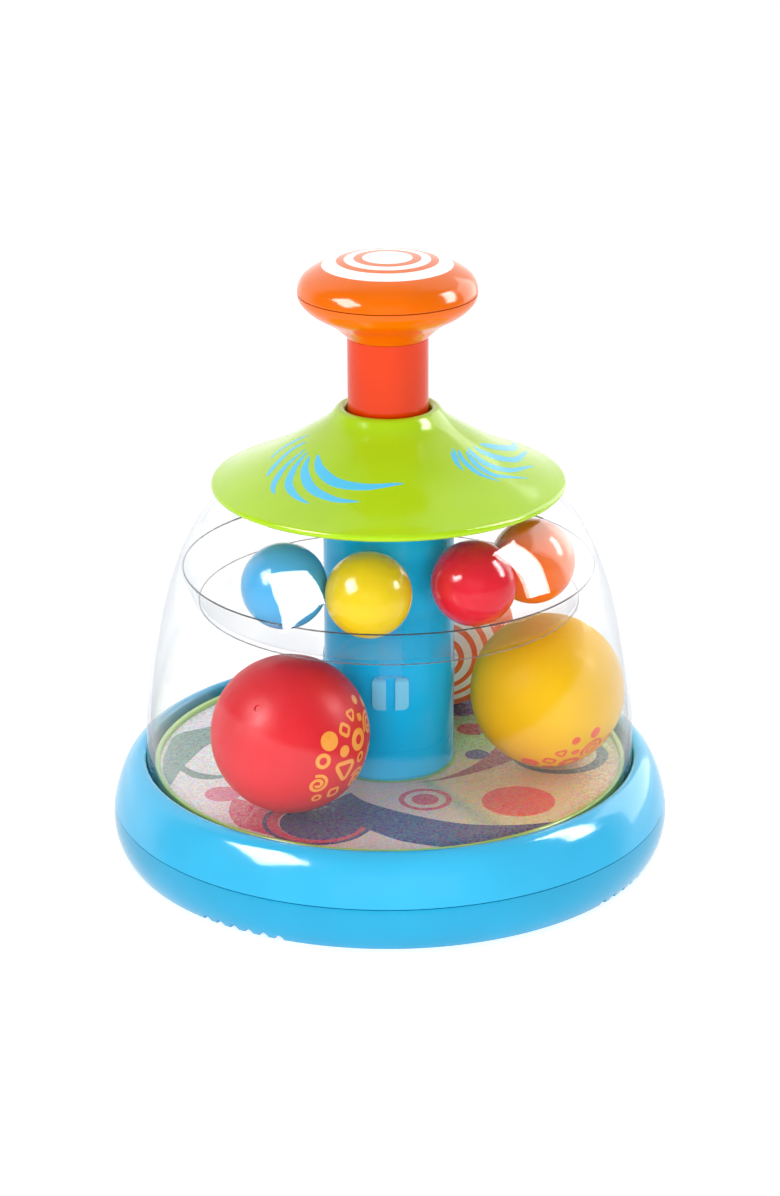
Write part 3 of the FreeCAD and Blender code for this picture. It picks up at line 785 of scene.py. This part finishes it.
# ---------------------------------------------------------------- materials of the frame's own parts
# parts whose finish isn't the one of their slot; the base pan's darker blue is painted shade for its
# shadowed underside
PAINTED_SHADE_PARTS = {"base_pan": "pan_blue_painted_shade"}
TAB_HEIGHT = 13.3 * MM


# colour, roughness and strength of shine
PLASTICS = {
    "base_blue": ((56, 178, 224), 0.12, 0.5),
    "column_blue": ((0, 184, 240), 0.12, 0.2),
    # painted shade: the base blue darkened for the pan, whose underside lies in shadow
    "pan_blue_painted_shade": ((14, 158, 202), 0.13, 0.5),
    "cap_green": ((166, 208, 22), 0.15, 0.4),
    "knob_orange": ((226, 102, 0), 0.13, 0.35),
    "stem_orange": ((216, 56, 0), 0.15, 0.35),
    "turntable_green": ((182, 222, 110), 0.2, 0.5),
    "nylon_white": ((236, 234, 226), 0.35, 0.5),
    "rubber_grey": ((70, 70, 74), 0.75, 0.5),
    "ball_red": ((222, 30, 42), 0.4, 0.22),
    "ball_yellow": ((242, 190, 2), 0.45, 0.12),
    "ball_orange": ((246, 108, 18), 0.4, 0.22),
    "small_blue": ((84, 178, 232), 0.16, 0.5),
    "small_yellow": ((240, 208, 20), 0.16, 0.5),
    "small_red": ((226, 26, 48), 0.14, 0.5),
    "small_orange": ((250, 112, 20), 0.16, 0.5),
}


def make_finishes():
    """A material for each of the frame's slots, and a darker painted-shade copy of the base blue for the
    base pan.
    """
    finishes = {name: plastic(name, colour, roughness, shine=shine)
                for name, (colour, roughness, shine) in PLASTICS.items()}
    finishes["clear_dome"] = clear("clear_dome", (236, 238, 241), 0.005, 0.028, 0.7)
    finishes["clear_tray"] = clear("clear_tray", (236, 238, 240), 0.01, 0.01, 0.36)
    # the clips' pale, nearly opaque tabs are painted reflection
    tab_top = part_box("tray_clips")[0].z + TAB_HEIGHT
    finishes["clip_clear_blue"] = tab_painted_reflection("clip_clear_blue", (122, 214, 252), tab_top)
    finishes["glitter_foil"] = glitter("glitter_foil")
    finishes["steel"] = metal("steel", (196, 198, 202), 0.25)
    return finishes


def finish_parts():
    """Gives each part of the frame the finish of its slot, or, for the base pan, a darker blue as painted
    shade.
    """
    finishes = make_finishes()
    for name, part in nodes.items():
        slot_name = PAINTED_SHADE_PARTS.get(name, part.data.materials[0].name.split(".")[0])
        part.data.materials[0] = finishes[slot_name]


def squeeze_spring():
    """Gives the return spring a mesh of its own."""
    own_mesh(nodes["return_spring"])


make_camera()
make_surroundings()
make_floor()
make_lamps()
bpy.context.scene.view_settings.view_transform = "Standard"
bpy.context.scene.cycles.transparent_max_bounces = CLEAR_LAYERS

finish_parts()
print_knob()
print_cap()
print_balls()
print_label()
paint_tray_edge_shade()
squeeze_spring()
